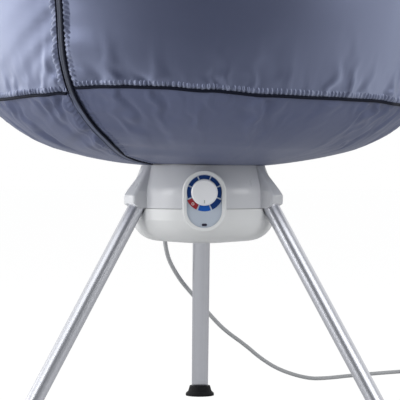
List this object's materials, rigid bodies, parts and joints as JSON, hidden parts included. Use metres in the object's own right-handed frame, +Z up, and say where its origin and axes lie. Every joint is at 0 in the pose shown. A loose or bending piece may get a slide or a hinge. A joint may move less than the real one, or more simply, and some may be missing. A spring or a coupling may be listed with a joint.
{
  "type": "heated drying pod",
  "caption": "Standing clothes dryer: a zipped fabric pod over a round fan heater with a timer dial, on splayed tube legs, with a pole and folding hanger arms inside.",
  "frame": {"origin": "on the floor under the pole, at the middle of the fabric pod", "axes": "+Z up, -Y to the front with the timer dial, +X to the right seen from the front"},
  "size_m": [0.851, 0.9421, 1.616],
  "materials": {
    "shell_plastic": "satin moulded light grey",
    "dial_plastic": "matt lilac grey",
    "knob_plastic": "satin white",
    "mark_blue": "printed ink",
    "mark_red": "printed ink",
    "lens_dark": "clear dark lens",
    "leg_aluminium": "satin anodised",
    "foot_rubber": "matt moulded",
    "pod_nylon": "satin woven nylon",
    "trim_black": "woven piping and tape",
    "zip_metal": "dark enamel",
    "plain_steel": "bright steel",
    "fan_plastic": "moulded black",
    "hanger_plastic": "moulded light grey",
    "cord_grey": "matt grey jacket",
    "pin_brass": "plated pins"
  },
  "bodies": {
    "stand": {"upper_shell": "shell_plastic", "lower_shell": "shell_plastic", "outlet_grille": "shell_plastic", "dial_bezel": "shell_plastic", "dial_plate": "dial_plastic", "dial_marks": "mark_blue", "off_mark": "mark_red", "indicator_lens": "lens_dark", "timer_unit": "fan_plastic", "motor_plate": "plain_steel", "motor_screws": "plain_steel", "fan_motor": "plain_steel", "heater_frame": "plain_steel", "heater_element": "leg_aluminium", "thermal_cutout": "fan_plastic", "terminal_block": "fan_plastic", "strain_relief": "cord_grey", "cord": "cord_grey", "cord_coil": "cord_grey", "cord_tie": "foot_rubber", "plug_body": "cord_grey", "plug_pins": "pin_brass", "pole_lower": "leg_aluminium", "pole_middle": "leg_aluminium", "pole_upper": "leg_aluminium", "pole_coupler_lower": "hanger_plastic", "pole_coupler_upper": "hanger_plastic", "hanger_hub": "hanger_plastic", "hub_screw": "fan_plastic", "arm_pins": "plain_steel", "crown_cap": "hanger_plastic", "pod_dish": "pod_nylon", "pod_front": "pod_nylon", "pod_back": "pod_nylon", "pod_crown": "pod_nylon", "hem_ring": "trim_black", "zip_tape": "trim_black", "piping_low": "trim_black", "piping_high": "trim_black", "leg_back": "leg_aluminium", "foot_back": "foot_rubber", "leg_front_left": "leg_aluminium", "foot_front_left": "foot_rubber", "leg_front_right": "leg_aluminium", "foot_front_right": "foot_rubber"},
    "knob": {"timer_knob": "knob_plastic", "timer_shaft": "plain_steel"},
    "fan": {"motor_shaft": "plain_steel", "fan_impeller": "fan_plastic"},
    "zip": {"zip_slider": "zip_metal", "zip_pull": "zip_metal"},
    "arm_1": {"hanger_arm_1": "hanger_plastic"},
    "arm_2": {"hanger_arm_2": "hanger_plastic"},
    "arm_3": {"hanger_arm_3": "hanger_plastic"},
    "arm_4": {"hanger_arm_4": "hanger_plastic"},
    "arm_5": {"hanger_arm_5": "hanger_plastic"},
    "arm_6": {"hanger_arm_6": "hanger_plastic"}
  },
  "joints": [
    {"name": "timer_turn", "type": "hinge", "parent": "stand", "child": "knob", "pos_m": [0, -0.114, 0.3288], "axis": [0, 1, 0], "range_deg": [0, 270]},
    {"name": "fan_spin", "type": "hinge", "parent": "stand", "child": "fan", "pos_m": [0, 0, 0.31], "axis": [0, 0, 1], "continuous": true},
    {"name": "zip_slide", "type": "slide", "parent": "stand", "child": "zip", "axis": [0, 0, 1], "range_m": [0, 0.4]},
    {"name": "arm_1_fold", "type": "hinge", "parent": "stand", "child": "arm_1", "pos_m": [0.02898, 0.00777, 1.33], "axis": [0.2588, -0.9659, 0], "range_deg": [0, 80]},
    {"name": "arm_2_fold", "type": "hinge", "parent": "stand", "child": "arm_2", "pos_m": [0.00777, 0.02898, 1.33], "axis": [0.9659, -0.2588, 0], "range_deg": [0, 80]},
    {"name": "arm_3_fold", "type": "hinge", "parent": "stand", "child": "arm_3", "pos_m": [-0.02121, 0.02121, 1.33], "axis": [0.7071, 0.7071, 0], "range_deg": [0, 80]},
    {"name": "arm_4_fold", "type": "hinge", "parent": "stand", "child": "arm_4", "pos_m": [-0.02898, -0.00777, 1.33], "axis": [-0.2588, 0.9659, 0], "range_deg": [0, 80]},
    {"name": "arm_5_fold", "type": "hinge", "parent": "stand", "child": "arm_5", "pos_m": [-0.00777, -0.02898, 1.33], "axis": [-0.9659, 0.2588, 0], "range_deg": [0, 80]},
    {"name": "arm_6_fold", "type": "hinge", "parent": "stand", "child": "arm_6", "pos_m": [0.02121, -0.02121, 1.33], "axis": [-0.7071, -0.7071, 0], "range_deg": [0, 80]}
  ]
}
